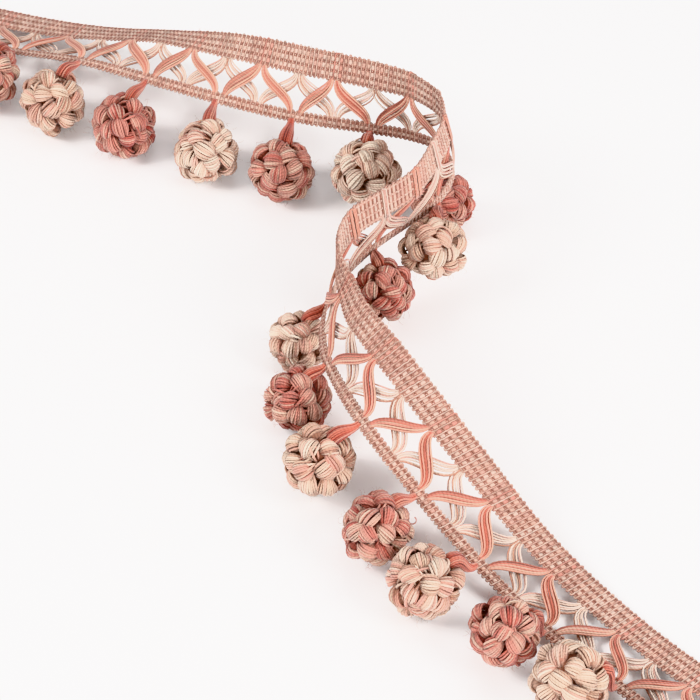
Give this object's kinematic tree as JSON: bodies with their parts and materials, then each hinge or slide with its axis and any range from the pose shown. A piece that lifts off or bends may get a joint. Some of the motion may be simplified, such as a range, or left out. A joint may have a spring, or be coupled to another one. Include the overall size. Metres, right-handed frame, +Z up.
{
  "type": "pompon fringe trim",
  "caption": "Cut length of woven fringe trim lying in an S: a heading band, a zigzag open work of coral and cream yarn, a narrow foot band and looped yarn pompons on short stems.",
  "frame": {"origin": "under the middle of the whole length's box, on the surface that it lies on", "axes": "+Z up from the surface, the length winds in an S mostly along Y, with its low end at +X -Y and its first end at -X +Y"},
  "size_m": [0.3105, 0.378, 0.0528],
  "materials": {
    "heading_weave": "matt thick weft yarn over thin brown warps",
    "coral_yarn": "soft matt coral yarn with a slight sheen",
    "cream_yarn": "soft matt cream yarn with a slight sheen",
    "coral_pompon": "looped yarn, dusty coral mixed with beige",
    "cream_pompon": "looped yarn, cream mixed with pale pink"
  },
  "bodies": {
    "root": {"heading_band": "heading_weave", "foot_band": "heading_weave", "coral_lattice": "coral_yarn", "cream_lattice": "cream_yarn", "stem_01": "coral_yarn", "pompon_01": "cream_pompon", "stem_02": "coral_yarn", "pompon_02": "coral_pompon", "stem_03": "coral_yarn", "pompon_03": "cream_pompon", "stem_04": "coral_yarn", "pompon_04": "coral_pompon", "stem_05": "coral_yarn", "pompon_05": "cream_pompon", "stem_06": "coral_yarn", "pompon_06": "coral_pompon", "stem_07": "coral_yarn", "pompon_07": "cream_pompon", "stem_08": "coral_yarn", "pompon_08": "coral_pompon", "stem_09": "coral_yarn", "pompon_09": "cream_pompon", "stem_10": "coral_yarn", "pompon_10": "coral_pompon", "stem_11": "coral_yarn", "pompon_11": "cream_pompon", "stem_12": "coral_yarn", "pompon_12": "coral_pompon", "stem_13": "coral_yarn", "pompon_13": "cream_pompon", "stem_14": "coral_yarn", "pompon_14": "coral_pompon", "stem_15": "coral_yarn", "pompon_15": "cream_pompon", "stem_16": "coral_yarn", "pompon_16": "coral_pompon", "stem_17": "coral_yarn", "pompon_17": "cream_pompon", "stem_18": "coral_yarn", "pompon_18": "coral_pompon"}
  },
  "joints": []
}
